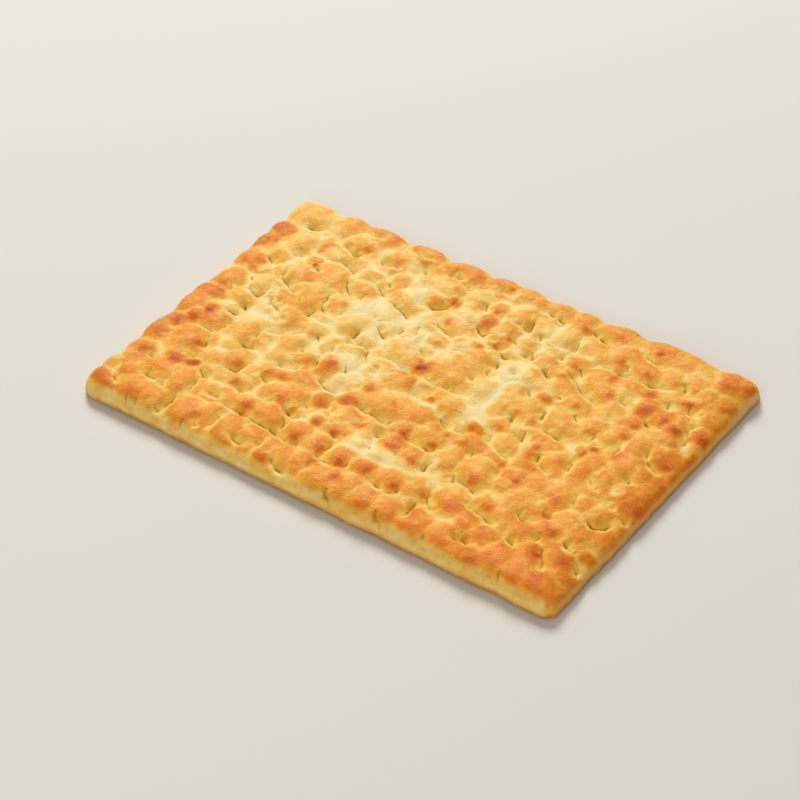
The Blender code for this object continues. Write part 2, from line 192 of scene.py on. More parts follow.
# The pillows that puffed up between the creases: x, y, half-widths along x and y,
# and how brown the oven left each crown.
PILLOWS = (
    # back left
    (-254, 156, 30, 22, 0.50), (-208, 165, 16, 18, 0.62), (-166, 169, 24, 15, 0.78),
    (-118, 168, 16, 14, 0.72), (-179, 142, 20, 13, 0.55), (-131, 142, 18, 15, 0.50),
    (-271, 122, 18, 11, 0.85), (-274, 100, 14, 11, 0.92), (-236, 110, 18, 18, 0.42),
    (-212, 122, 12, 12, 0.62), (-189, 115, 16, 12, 0.42), (-167, 113, 15, 9, 0.48),
    (-140, 106, 12, 9, 0.50), (-203, 94, 9, 8, 0.85), (-173, 83, 24, 19, 0.62),
    (-131, 83, 14, 13, 0.58), (-115, 100, 12, 8, 0.55), (-281, 86, 7, 8, 0.75),
    (-246, 83, 15, 14, 0.48), (-263, 66, 18, 14, 0.66), (-216, 66, 16, 16, 0.50),
    (-193, 71, 11, 9, 0.62), (-167, 43, 22, 26, 0.74), (-135, 50, 12, 16, 0.60),
    (-243, 56, 8, 6, 0.58), (-227, 36, 17, 14, 0.36), (-197, 31, 12, 10, 0.62),
    (-264, 24, 16, 16, 0.64), (-172, 11, 18, 11, 0.62), (-233, 9, 14, 9, 0.46),
    (-200, 14, 14, 10, 0.16), (-139, 24, 10, 7, 0.34), (-116, 60, 13, 14, 0.26),
    (-110, 33, 14, 12, 0.45), (-136, 7, 14, 10, 0.40), (-268, -1, 18, 9, 0.82),
    # back middle
    (-102, 171, 13, 14, 0.72), (-56, 164, 26, 17, 0.76), (-13, 167, 16, 16, 0.72),
    (18, 169, 19, 15, 0.56), (38, 162, 10, 12, 0.60), (63, 164, 17, 15, 0.56),
    (93, 162, 15, 18, 0.64), (-60, 134, 24, 13, 0.42), (-16, 132, 14, 17, 0.50),
    (8, 133, 10, 10, 0.60), (38, 135, 16, 16, 0.60), (63, 130, 14, 14, 0.34),
    (92, 131, 16, 16, 0.38), (-41, 120, 8, 11, 0.95), (-60, 110, 16, 12, 0.62),
    (-104, 113, 12, 12, 0.60), (-82, 110, 9, 10, 0.10), (-16, 104, 14, 9, 0.40),
    (8, 110, 11, 13, 0.80), (33, 110, 13, 11, 0.60), (62, 105, 10, 8, 0.42),
    (69, 91, 13, 12, 0.42), (95, 107, 14, 8, 0.50), (93, 91, 12, 13, 0.55),
    (34, 90, 12, 11, 0.66), (21, 76, 7, 8, 0.80), (55, 78, 16, 8, 0.32),
    (-22, 85, 22, 15, 0.60), (-86, 90, 20, 13, 0.50), (-43, 78, 10, 10, 0.40),
    (7, 70, 11, 11, 0.50), (-45, 57, 10, 12, 0.34), (-16, 60, 12, 10, 0.60),
    (-89, 63, 13, 11, 0.32), (-75, 46, 15, 11, 0.38), (-102, 36, 12, 18, 0.50),
    (-80, 20, 12, 12, 0.30), (-43, 26, 16, 17, 0.60), (-23, 20, 14, 14, 0.60),
    (-19, 40, 10, 7, 0.42), (27, 30, 28, 27, 0.80), (32, 61, 16, 9, 0.62),
    (76, 61, 14, 14, 0.08), (93, 67, 12, 12, 0.50), (62, 26, 14, 18, 0.32),
    (93, 41, 12, 11, 0.50), (95, 20, 10, 16, 0.62), (-17, 3, 7, 5, 0.72),
    (-78, 4, 16, 9, 0.30), (-39, -3, 14, 10, 0.50), (-102, -2, 12, 12, 0.55),
    # back right
    (132, 167, 20, 17, 0.66), (183, 171, 24, 20, 0.78), (213, 168, 15, 17, 0.60),
    (235, 164, 12, 12, 0.46), (263, 160, 15, 18, 0.80), (282, 165, 9, 13, 0.76),
    (126, 132, 16, 15, 0.52), (158, 137, 17, 17, 0.66), (188, 131, 14, 14, 0.66),
    (216, 134, 15, 15, 0.52), (236, 141, 14, 13, 0.60), (257, 130, 10, 12, 0.60),
    (276, 132, 13, 12, 0.74), (246, 117, 9, 8, 0.80), (280, 110, 15, 14, 0.68),
    (126, 106, 14, 9, 0.68), (118, 86, 14, 9, 0.75), (156, 105, 14, 10, 0.74),
    (185, 106, 14, 9, 0.62), (205, 105, 9, 9, 0.86), (225, 110, 12, 8, 0.32),
    (151, 91, 11, 10, 0.65), (168, 83, 16, 16, 0.70), (190, 87, 12, 13, 0.40),
    (215, 86, 12, 13, 0.92), (236, 81, 11, 12, 0.76), (252, 73, 8, 9, 0.92),
    (257, 92, 8, 8, 0.55), (283, 83, 12, 12, 0.85), (269, 77, 5, 8, 0.80),
    (280, 67, 10, 7, 0.30), (131, 68, 15, 14, 0.64), (106, 61, 12, 10, 0.36),
    (123, 47, 8, 9, 0.76), (156, 55, 19, 12, 0.62), (190, 64, 13, 14, 0.52),
    (216, 60, 14, 9, 0.76), (216, 44, 12, 8, 0.76), (242, 54, 13, 8, 0.46),
    (257, 60, 10, 10, 0.56), (289, 53, 9, 14, 0.85), (158, 24, 19, 22, 0.62),
    (189, 33, 12, 16, 0.72), (209, 31, 9, 8, 0.60), (239, 36, 13, 18, 0.70),
    (269, 36, 20, 12, 0.88), (115, 23, 16, 17, 0.52), (132, 15, 7, 11, 0.60),
    (226, 17, 8, 8, 0.90), (204, 13, 6, 8, 0.82), (197, 2, 6, 7, 0.82),
    (243, 7, 13, 16, 0.68), (263, 4, 11, 10, 0.70), (284, 0, 13, 16, 0.86),
    (290, 25, 8, 12, 0.76), (112, -7, 12, 7, 0.70), (155, -5, 8, 7, 0.76),
    (172, -6, 9, 8, 0.66), (217, -3, 11, 12, 0.70), (135, -3, 8, 8, 0.45),
    # front left
    (-271, -25, 16, 17, 0.74), (-246, -24, 9, 10, 1.00), (-229, -36, 17, 13, 0.70),
    (-256, -40, 10, 10, 0.92), (-267, -56, 12, 9, 0.88), (-230, -15, 16, 9, 0.38),
    (-192, -32, 15, 20, 0.60), (-175, -35, 6, 9, 0.80), (-165, -36, 11, 12, 0.34),
    (-140, -25, 14, 13, 0.56), (-109, -36, 15, 12, 0.68), (-139, -47, 11, 10, 0.45),
    (-274, -77, 16, 16, 0.76), (-233, -74, 21, 20, 0.72), (-216, -62, 8, 8, 0.65),
    (-193, -83, 13, 11, 0.58), (-170, -73, 15, 16, 0.64), (-188, -58, 14, 9, 0.45),
    (-138, -76, 14, 14, 0.62), (-115, -66, 13, 8, 0.70), (-227, -103, 11, 8, 0.98),
    (-206, -98, 9, 7, 0.90), (-189, -103, 10, 11, 0.60), (-266, -110, 16, 12, 0.80),
    (-263, -127, 13, 11, 0.60), (-227, -127, 22, 15, 0.72), (-196, -129, 13, 20, 0.80),
    (-179, -127, 8, 13, 0.60), (-160, -123, 13, 12, 0.72), (-141, -119, 12, 12, 0.62),
    (-168, -99, 14, 9, 0.46), (-151, -96, 7, 7, 0.76), (-118, -121, 14, 13, 0.92),
    (-140, -97, 10, 8, 0.40), (-108, -92, 13, 12, 0.64), (-267, -164, 20, 10, 0.82),
    (-281, -142, 9, 11, 0.45), (-254, -143, 13, 10, 0.74), (-227, -160, 21, 14, 0.80),
    (-202, -160, 14, 15, 0.80), (-166, -158, 15, 17, 0.82), (-140, -154, 14, 18, 0.76),
    (-110, -156, 14, 19, 0.80),
    # front middle
    (-86, -28, 11, 14, 0.86), (-72, -17, 12, 14, 0.12), (-58, -36, 11, 9, 0.12),
    (-35, -32, 15, 9, 0.72), (-45, -42, 8, 7, 0.50), (-16, -12, 14, 12, 0.70),
    (-4, -5, 6, 9, 0.76), (1, -49, 24, 17, 0.76), (-35, -57, 11, 11, 0.94),
    (-43, -15, 11, 10, 0.36), (-95, -59, 17, 11, 0.72), (-60, -73, 9, 9, 0.84),
    (-87, -87, 19, 16, 0.80), (-28, -80, 15, 13, 0.52), (10, -82, 9, 15, 0.30),
    (-43, -99, 9, 8, 0.86), (-19, -101, 14, 10, 0.82), (-62, -97, 9, 6, 0.12),
    (38, -40, 18, 13, 0.84), (34, -10, 14, 9, 0.74), (52, -13, 12, 12, 0.62),
    (88, -25, 9, 7, 0.88), (61, -47, 10, 8, 0.76), (73, -47, 6, 7, 0.78),
    (96, -45, 13, 8, 0.82), (35, -67, 12, 11, 1.00), (63, -63, 15, 12, 0.72),
    (41, -87, 13, 11, 0.90), (64, -92, 13, 12, 0.82), (84, -85, 9, 12, 0.30),
    (98, -74, 10, 14, 0.66), (25, -105, 24, 9, 0.10), (65, -106, 14, 7, 0.20),
    (-90, -122, 19, 15, 0.86), (-49, -127, 15, 15, 0.92), (-20, -127, 13, 14, 0.94),
    (11, -130, 15, 14, 0.94), (36, -127, 13, 12, 0.86), (69, -129, 17, 15, 0.88),
    (96, -124, 13, 13, 0.62), (-82, -154, 15, 15, 0.68), (-58, -160, 9, 16, 0.76),
    (-41, -158, 12, 14, 0.80), (-19, -153, 13, 15, 0.90), (8, -164, 15, 14, 0.82),
    (21, -154, 8, 9, 0.92), (38, -158, 13, 18, 0.82), (62, -163, 14, 15, 0.86),
    (91, -161, 15, 16, 0.92), (103, -143, 7, 7, 0.96),
    # front right
    (131, -30, 13, 14, 0.52), (159, -23, 10, 15, 0.80), (186, -26, 14, 17, 0.70),
    (212, -23, 10, 18, 0.76), (235, -25, 13, 18, 0.74), (263, -27, 12, 14, 0.76),
    (283, -23, 13, 22, 0.86), (108, -45, 12, 8, 0.80), (135, -50, 14, 8, 0.72),
    (162, -43, 11, 8, 0.84), (131, -75, 18, 18, 0.70), (163, -62, 12, 11, 0.86),
    (189, -59, 13, 11, 0.74), (216, -59, 14, 15, 0.82), (240, -57, 10, 10, 0.70),
    (260, -62, 12, 11, 0.66), (285, -62, 11, 10, 0.60), (162, -78, 10, 8, 0.66),
    (188, -86, 15, 16, 0.70), (212, -86, 10, 11, 0.74), (229, -84, 5, 7, 0.60),
    (242, -83, 10, 12, 0.62), (259, -94, 12, 16, 0.68), (283, -83, 13, 15, 0.70),
    (280, -107, 12, 5, 0.80), (165, -106, 13, 12, 0.80), (189, -110, 12, 14, 0.76),
    (213, -116, 13, 12, 0.90), (230, -103, 11, 11, 0.94), (240, -131, 15, 17, 0.94),
    (260, -127, 12, 10, 0.92), (276, -141, 13, 11, 0.80), (135, -123, 18, 14, 0.88),
    (107, -124, 8, 10, 0.80), (161, -134, 10, 15, 0.84), (186, -139, 14, 11, 0.80),
    (122, -160, 16, 15, 0.90), (155, -160, 16, 15, 0.90), (185, -170, 14, 9, 0.94),
    (212, -157, 14, 17, 0.92), (237, -164, 13, 15, 0.94), (266, -161, 17, 14, 0.98),
)

# Where the sides are drawn in: place along the side, and how deep.
DENTS = {
    "back": (
        (-235, 4.4), (-195, 2.2), (-143, 5.0), (-84, 5.4), (-30, 4.6), (8, 1.4), (40, 4.4),
        (76, 1.2), (110, 3.4), (160, 4.4), (228, 2.4), (243, 1.8),
    ),
    "left": ((138, 4.6), (108, 2.8), (82, 4.0), (50, 3.8), (26, 3.4), (-44, 4.0), (-96, 3.2), (-120, 3.0)),
    "right": ((96, 0.9), (40, 0.5), (-14, 1.0), (-118, 0.6)),
    "front": ((-188, 1.2), (-96, 0.8), (32, 1.2), (92, 1.5), (142, 0.9), (228, 1.4)),
}
# Short slits where the shoulder turns into the side wall: the place along the side
# and the height of the upper end, then of the lower end, and how deep.
SLITS = {
    "front": (
        (-228, 19.5, -224.5, 14, 0.7), (-216, 19.5, -211.5, 14, 0.6), (-155, 20, -153.5, 14.5, 0.8),
        (-94, 20.3, -93.5, 14.5, 0.5), (26, 19.2, 34.6, 12, 1.1), (85, 20.3, 96.5, 12, 1.1),
        (140, 20, 145, 15, 0.7), (206, 19, 211, 11, 0.4), (227, 21, 229, 13.5, 1.1), (280, 19.5, 281, 16.5, 0.6),
    ),
    "back": ((-160, 20, -157, 14, 0.7), (-30, 19.5, -27, 13, 0.9), (66, 20, 64, 14.5, 0.6), (148, 20, 151, 13, 0.8)),
    "left": ((-96, 20, -98, 14, 0.7), (12, 19.5, 14, 13.5, 0.8), (92, 20, 90, 15, 0.5)),
    "right": ((-96, 20, -94, 14, 0.6), (-22, 19, -24, 13, 0.8), (120, 20, 121, 15, 0.5)),
}


# ------------------------------------------------------------------- noise
class Noise:
    """Smooth gradient noise in space, from -1 to 1, the same on every run."""

    def __init__(self, seed):
        source = np.random.default_rng(seed)
        self.order = source.permutation(256)
        g = source.normal(size=(256, 3))
        self.slope = g / np.linalg.norm(g, axis=1, keepdims=True)

    def __call__(self, p):
        cell = np.floor(p).astype(int)
        f = p - cell
        s = f * f * f * (f * (f * 6 - 15) + 10)
        total = np.zeros(len(p))
        for dx in (0, 1):
            for dy in (0, 1):
                for dz in (0, 1):
                    corner = np.array((dx, dy, dz))
                    c = (cell + corner) & 255
                    h = self.order[(self.order[(self.order[c[:, 0]] + c[:, 1]) & 255] + c[:, 2]) & 255]
                    weight = np.prod(np.where(corner, s, 1 - s), axis=1)
                    total += weight * np.einsum("ij,ij->i", self.slope[h], f - corner)
        return total * 1.6


def layers(p, length, seed, count=3, fade=0.5, folded=False):
    """Several sizes of noise together; folded gives round lumps with sharp valleys."""
    total, share = np.zeros(len(p)), 0.0
    for k in range(count):
        n = Noise(seed + k)(p * (2.03**k / length) + 17.3 * k)
        if folded:
            n = np.minimum(np.abs(n) * 2.6, 1.0) * 2 - 1
        total += n * fade**k
        share += fade**k
    return total / share


def soft(x, low, high):
    t = np.clip((x - low) / (high - low), 0, 1)
    return t * t * (3 - 2 * t)


# ----------------------------------------------------------------- plan shape
def spacing(side):
    """Lines across one side of the skin: even on top, closer on the shoulder."""
    turn = np.linspace(0, math.pi / 2, SHOULDER_RINGS + 1)
    ring = SHOULDER * (1 - np.cos(turn))
    count = int(round((side - 2 * SHOULDER) / PITCH))
    inner = np.linspace(SHOULDER, side - SHOULDER, count + 1)[1:-1]
    return np.concatenate([ring, inner, side - ring[::-1]]) - side / 2


def plan(x, y):
    """The round-cornered place of each point, its way out, and its distance in."""
    front, back = np.where(x > 0, CORNERS[1], CORNERS[0]), np.where(x > 0, CORNERS[3], CORNERS[2])
    r = np.where(y < 0, front, back)
    cx = np.clip(x, -HX + r, HX - r)
    cy = np.clip(y, -HY + r, HY - r)
    ox, oy = x - cx, y - cy
    inside = np.minimum(HX - np.abs(x), HY - np.abs(y))
    square, true = np.maximum(np.abs(ox), np.abs(oy)), np.hypot(ox, oy)
    corner = (ox != 0) & (oy != 0)
    scale = np.where(corner, square / np.where(true > 0, true, 1), 1.0)
    px, py = cx + ox * scale, cy + oy * scale
    # the way out swings smoothly from one side to the next along the corner
    nx = np.where(corner, ox / np.where(true > 0, true, 1), 0.0)
    ny = np.where(corner, oy / np.where(true > 0, true, 1), 0.0)
    near_x = (HX - np.abs(x)) < (HY - np.abs(y))
    nx = np.where(corner, nx, np.where(near_x, np.sign(x), 0.0))
    ny = np.where(corner, ny, np.where(near_x, 0.0, np.sign(y)))
    return px, py, nx, ny, inside


def side_share(nx, ny):
    """How much a point belongs to each side, fading out along the corners."""
    return {
        "right": soft(nx, 0.75, 0.98), "left": soft(-nx, 0.75, 0.98),
        "back": soft(ny, 0.75, 0.98), "front": soft(-ny, 0.75, 0.98),
    }


def drawn_in(px, py, share):
    total = np.zeros(len(px))
    for side, marks in DENTS.items():
        along = px if side in ("back", "front") else py
        here = np.zeros(len(px))
        for at, deep in marks:
            here = np.maximum(here, deep * np.exp(-((np.abs(along - at) / 11.0) ** 1.3)))
        total += here * share[side]
    return total


# ------------------------------------------------------------------- creases
def to_polyline(px, py, points):
    """Distance to a run of points, which way it lies, where along the run, and
    on which side of it."""
    best = np.full(len(px), 1e9)
    vx, vy, along = np.zeros(len(px)), np.zeros(len(px)), np.zeros(len(px))
    side = np.ones(len(px))
    run = np.concatenate([[0], np.cumsum(np.hypot(*np.diff(points, axis=0).T))])
    for k in range(len(points) - 1):
        a, d = points[k], points[k + 1] - points[k]
        t = np.clip(((px - a[0]) * d[0] + (py - a[1]) * d[1]) / (d @ d), 0, 1)
        qx, qy = a[0] + t * d[0] - px, a[1] + t * d[1] - py
        far = np.hypot(qx, qy)
        closer = far < best
        best = np.where(closer, far, best)
        vx, vy = np.where(closer, qx, vx), np.where(closer, qy, vy)
        along = np.where(closer, run[k] + t * (run[k + 1] - run[k]), along)
        side = np.where(closer, np.where(d[0] * (py - a[1]) > d[1] * (px - a[0]), 1.0, -1.0), side)
    return best, vx, vy, along / run[-1], side


def smooth_run(points, step=3.0):
    """A curve through a few points, as many short steps."""
    points = np.array(points, float).reshape(-1, 2)
    if len(points) < 3:
        return points
    padded = np.vstack([2 * points[0] - points[1], points, 2 * points[-1] - points[-2]])
    out = []
    for k in range(1, len(padded) - 2):
        p0, p1, p2, p3 = padded[k - 1 : k + 3]
        n = max(2, int(np.hypot(*(p2 - p1)) / step))
        for t in np.linspace(0, 1, n, endpoint=False):
            out.append(0.5 * (2 * p1 + (p2 - p0) * t + (2 * p0 - 5 * p1 + 4 * p2 - p3) * t**2 + (3 * p1 - p0 - 3 * p2 + p3) * t**3))
    return np.vstack([out, points[-1]])


def press_creases(px, py, uneven):
    """What the finger creases do together to each point.

    depth: how far it is pressed in; pull_x, pull_y: how it is drawn to them;
    line: closeness to their bottoms, which are given painted shade; lip: the rim of
    dough on their near side, painted pale, partly as a highlight where it faces the
    key light; crest: the high skin just in front of that; slope: the long far side,
    which is given painted shade; across and cut: the way across the nearest one,
    and how sharp its fold is."""
    n = len(px)
    names = ("power", "pull_x", "pull_y", "line", "lip", "crest", "slope", "cut")
    out = {name: np.zeros(n) for name in names}
    out["across"] = np.full(n, 20.0)
    nearest = np.full(n, 1e9)
    for k, (strength, *flat) in enumerate(CREASES):
        run = smooth_run(flat)
        reach = CREASE_REACH * (0.65 + 0.35 * min(strength, 1.0))
        low, high = run.min(0) - reach * 1.5, run.max(0) + reach * 1.5
        near = np.flatnonzero((px > low[0]) & (px < high[0]) & (py > low[1]) & (py < high[1]))
        if not len(near):
            continue
        d, vx, vy, t, side = to_polyline(px[near], py[near], run)
        # short and steep on the near side, long on the far one, as fingers press and pull
        way = np.where(d > 0.01, (0.87 * vy - 0.5 * vx) / np.maximum(d, 0.01), 0.0)
        # some creases are sharp folds and others round hollows
        blunt = (0.5, 1.4, 2.2, 1.0, 1.8)[(k * 7) % 5]
        u = np.clip((np.hypot(d, blunt) - 0.6 * blunt) / (reach * (1.0 - 0.22 * way)), 0, 1)
        drop = (1 - u) ** (1.9 + 0.4 * way)
        short = np.hypot(*(run[-1] - run[0])) < 5
        ends = 1.0 if short else 0.55 + 0.45 * np.clip(np.minimum(t, 1 - t) * 4, 0, 1)
        ends = ends * uneven[near]
        out["power"][near] += (strength * drop * ends) ** 3
        hold = np.exp(-((d / 3.2) ** 2)) * min(strength, 1.0) * 0.42
        out["pull_x"][near] += vx * hold
        out["pull_y"][near] += vy * hold
        much = min(strength, 1.0) * ends
        for name, value in (
            ("line", np.exp(-((d / 2.1) ** 2)) * strength * ends),
            ("lip", np.exp(-((np.maximum(d - 1.5, 0) / 3.6) ** 2)) * np.clip(0.4 + way, 0, 1) * much),
            ("crest", np.exp(-(((d - 9.0) / 4.5) ** 2)) * np.clip(way, 0, 1) * much),
            ("slope", np.exp(-((d / 9.5) ** 2)) * np.clip(0.4 - way, 0, 1) * much),
        ):
            out[name][near] = np.maximum(out[name][near], value)
        first = d < nearest[near]
        here = near[first]
        nearest[here] = d[first]
        out["across"][here] = (side * d)[first]
        sharp = strength * (1.25 - 0.25 * blunt) * np.clip(np.minimum(t, 1 - t) * 4, 0.4, 1)
        out["cut"][here] = (sharp * np.exp(-((d / 5.0) ** 2)))[first]
    out["depth"] = out.pop("power") ** (1 / 3)
    return out


def raise_pillows(px, py, wx, wy, bare):
    """The pillows together: height over the floor between them, and browning."""
    n = len(px)
    merged, parted = np.ones(n), np.ones(n)
    highest, second = np.zeros(n), np.zeros(n)
    highest_at, second_at = np.zeros((n, 2)), np.zeros((n, 2))
    # the dough between the pillows took more colour towards the right
    weight, browned = bare.copy(), bare * (PALE + 0.12 * soft(px, 40, 190))
    for x, y, rx, ry, brown in PILLOWS:
        near = np.flatnonzero((abs(px - x) < rx * 1.9 + 8) & (abs(py - y) < ry * 1.9 + 8))
        qx, qy = px[near] + wx[near], py[near] + wy[near]
        rise = (PILLOW + PILLOW_GAIN * min(math.sqrt(rx * ry), 19)) * (0.9 + 0.25 * brown)
        # the middle of the back puffed least, and the right side less than the left
        rise *= 1 - 0.22 * math.exp(-(((x + 60) / 150) ** 2) - ((y - 60) / 80) ** 2) - 0.12 * min(max((x - 70) / 80, 0), 1)
        # the foot of a pillow is low, so it lies where it shows; its crown is high
        # and lies a little nearer
        q = np.hypot((qx - x - 0.6) / (rx * SPREAD), (qy - y + 0.8) / (ry * SPREAD))
        dome = rise * (0.35 * np.clip(1 - q**2, 0, 1) + 0.65 * (1 - soft(q, 0.2, 1.02)))
        merged[near] += np.exp(dome / MERGED) - 1
        parted[near] += np.exp(dome / PARTED) - 1
        first, next_one = dome > highest[near], dome > second[near]
        second[near] = np.where(first, highest[near], np.where(next_one, dome, second[near]))
        second_at[near] = np.where(first[:, None], highest_at[near], np.where(next_one[:, None], (x, y), second_at[near]))
        highest[near] = np.where(first, dome, highest[near])
        highest_at[near] = np.where(first[:, None], (x, y), highest_at[near])
        crown = np.hypot((qx - x - 2.4) / rx, (qy - y + 2.9) / ry)
        here = np.exp(-1.3 * crown**2)
        weight[near] += here
        browned[near] += here * (brown - 0.3 * max(0.0, brown - 0.6))
    # Neighbours run together along a row; where one row meets the next they part in
    # a furrow, with a rim of dough on its near side and a long slope on the far one.
    apart = highest_at - second_at
    toward = (0.45 * apart[:, 0] - 0.89 * apart[:, 1]) / np.maximum(np.hypot(*apart.T), 1e-6)
    gap = (highest - second) * np.sign(toward)
    rows = soft(np.abs(toward), 0.25, 0.8)
    meet = soft(second, 0.15, 0.9) * rows
    return MERGED * np.log(merged) - 0.7, PARTED * np.log(parted), browned / weight, rows, meet, gap


def smoothed(values, steps):
    """The values of the skin's grid, blurred over some of its steps."""
    reach = int(3 * steps)
    bell = np.exp(-0.5 * (np.arange(-reach, reach + 1) / steps) ** 2)
    bell /= bell.sum()
    grid = np.pad(values.reshape(NX, NY), reach, mode="edge")
    grid = np.apply_along_axis(np.convolve, 0, grid, bell, "valid")
    return np.apply_along_axis(np.convolve, 1, grid, bell, "valid").ravel()


# --------------------------------------------------------------------- skin
xs, ys = spacing(LENGTH), spacing(DEPTH)
NX, NY = len(xs), len(ys)
gx, gy = np.meshgrid(xs, ys, indexing="ij")
gx, gy = gx.ravel(), gy.ravel()
px, py, nx, ny, inside = plan(gx, gy)
flat = np.column_stack([px, py, np.zeros(len(px))])

# creases were read where they show, so their bottoms lie a little further back
stray_x, stray_y = 1.1 * layers(flat, 8, 161, 2), 1.1 * layers(flat, 8, 163, 2)
fold = press_creases(px + 2.0 + stray_x, py - 2.3 + stray_y, np.clip(0.9 + 0.8 * layers(flat, 12, 165, 2), 0.4, 1.3))

# no pillow is a neat oval
warp_x = 3.4 * layers(flat, 21, 101, 2) + 1.5 * layers(flat, 7, 103, 2)
warp_y = 3.4 * layers(flat, 21, 111, 2) + 1.5 * layers(flat, 7, 113, 2)
# the oven browned the rim most, and left the middle of the back palest
palest = np.exp(-(((px + 45) / 150) ** 2) - ((py - 40) / 70) ** 2)
bare = BARE * np.clip(0.8 + 1.8 * layers(flat, 42, 151, 2) + 0.6 * palest, 0.1, 3.0)
merged, parted, browned, rows, meet, gap = raise_pillows(px, py, warp_x, warp_y, bare)
held = soft(layers(flat, 27, 121, 2), -0.45, 0.30) * (1 - 0.3 * soft(px, 50, 160))
meet = meet * held
furrow = meet * np.exp(-np.abs(gap) / np.where(gap > 0, 0.6, 1.2))
# the near rim of a furrow is kept for a pale lip, partly a painted highlight; its far side is kept for painted shade
rim = meet * np.exp(-((gap / 1.5) ** 2)) * (gap > 0)
slope = meet * np.exp(-((gap / 2.2) ** 2)) * (gap <= 0)
puff = merged + smoothed(held * (0.10 + 0.55 * rows), 2.0) * (parted - merged)

swell = 0.7 * layers(flat, 95, 11, 2)
# the pale dough is smoother than the browned crust
small = (0.26 + 0.10 * soft(browned, 0.35, 0.65)) * layers(flat, 13, 31, 3)
fine = (0.08 + 0.28 * soft(browned, 0.35, 0.65)) * layers(flat, 4.4, 41, 2, folded=True)
height = FLOOR + puff + swell + small + fine - CREASE * fold["depth"] - 0.75 * furrow
# lip: pale rims of creases and furrows, partly dough that browned less and partly a painted highlight where they rise
# towards the key light; slope: far sides that take painted shade
lip = np.maximum(fold["lip"] * (1 - 0.2 * soft(browned, 0.5, 0.85)), 0.3 * rim * (1 - 0.4 * soft(browned, 0.5, 0.85)))
slope = np.maximum(fold["slope"], 0.3 * slope)

dark = np.zeros(len(px))
for bx, by, r, how in BLISTERS:
    # blisters stand up, so they lie a little nearer than where they show
    d = np.hypot(px - (bx + 3.2), py - (by - 3.7))
    wobble = 1 + 0.25 * np.sin(3 * np.arctan2(py - by, px - bx) + bx)
    q = d / (r * wobble)
    near = q < 2.2
    height[near] += 0.6 * min(how, 1.3) * np.exp(-(q[near] ** 2) * 0.9)
    dark[near] = np.maximum(dark[near], how * np.exp(-(q[near] ** 2) * 1.5))
dark *= np.clip(0.95 + 0.5 * layers(flat, 6.5, 141, 2), 0.6, 1.3)
lip *= 1 - 0.7 * np.clip(dark, 0, 1)
slope *= 1 - np.clip(dark, 0, 1)

# the small bumps that stand out of their surroundings brown first
proud = height - smoothed(height, 2.0)

share = side_share(nx, ny)
edge_pull = drawn_in(px, py, share)
fade = np.clip(1 - inside / 26.0, 0, 1) ** 1.4
height -= 0.6 * edge_pull * fade

# the sheet thins towards its right end, and turns down there more sharply
shoulder = SHOULDER + (RIGHT_SHOULDER - SHOULDER) * share["right"]
height -= 9.5 * np.clip(1 - (HX - px) / 38.0, 0, 1) ** 2 * (1 - 0.45 * soft(np.abs(py), 140, 178))
turn = np.clip(1 - inside / shoulder, 0, 1)
rim_z = SHOULDER_Z + (RIGHT_Z - SHOULDER_Z) * share["right"] + 0.8 * layers(flat, 40, 57, 2)
height = np.where(inside < shoulder, rim_z + (height - rim_z) * np.sqrt(1 - turn**2), height)
height = np.minimum(height, HIGHEST - 0.35 + 0.35 * np.tanh((height - HIGHEST + 0.35) / 0.35))
top_xy_free = soft(inside, 0.5, 8.0)
# the pillows at the edge bulge over it
wob = 0.7 * layers(flat, 26, 51, 2) * (1 - 0.7 * share["right"]) + 0.8 * np.clip(puff - 2.7, -1.5, 1.5) * (1 - 0.7 * share["right"])
wob += 0.35 * layers(flat, 8, 53, 2)
out_shift = -edge_pull * fade + wob * np.clip(1 - inside / 14, 0, 1)
tx = px + nx * out_shift + fold["pull_x"] * top_xy_free
ty = py + ny * out_shift + fold["pull_y"] * top_xy_free
top_points = np.column_stack([tx, ty, height])

# the side wall, ring by ring below the edge of the skin
index = np.arange(NX * NY).reshape(NX, NY)
loop = np.concatenate([index[:-1, 0], index[-1, :-1], index[:0:-1, -1], index[0, :0:-1]])
WALL = (  # share of the rim's height, bulge, share of the rim's unevenness
    (0.90, 0.35, 1.00), (0.76, 0.65, 0.92), (0.61, 0.80, 0.84), (0.47, 0.75, 0.74),
    (0.34, 0.40, 0.64), (0.23, -0.20, 0.56), (0.13, -1.00, 0.50), (0.055, -1.95, 0.46), (0.0, -3.10, 0.42),
)
rings = []
lx, ly, lnx, lny = px[loop], py[loop], nx[loop], ny[loop]
lpull, lwob, lrim = edge_pull[loop], wob[loop], rim_z[loop]
lshare = {k: v[loop] for k, v in share.items()}
for part, bulge, kept in WALL:
    lz = part * lrim
    at = np.column_stack([lx, ly, lz * 1.6])
    ripple = 1.0 * layers(at, 13, 61, 3) * min(1, part * 3)
    off = bulge - kept * lpull + lwob * kept + ripple
    rings.append(np.column_stack([lx + lnx * off, ly + lny * off, lz]))
under = []
for inset in (7.0, 16.0, 40.0):
    under.append(np.column_stack([lx * (1 - inset / HX), ly * (1 - inset / HY), np.zeros(len(lx))]))

points = np.vstack([top_points, *rings, *under])


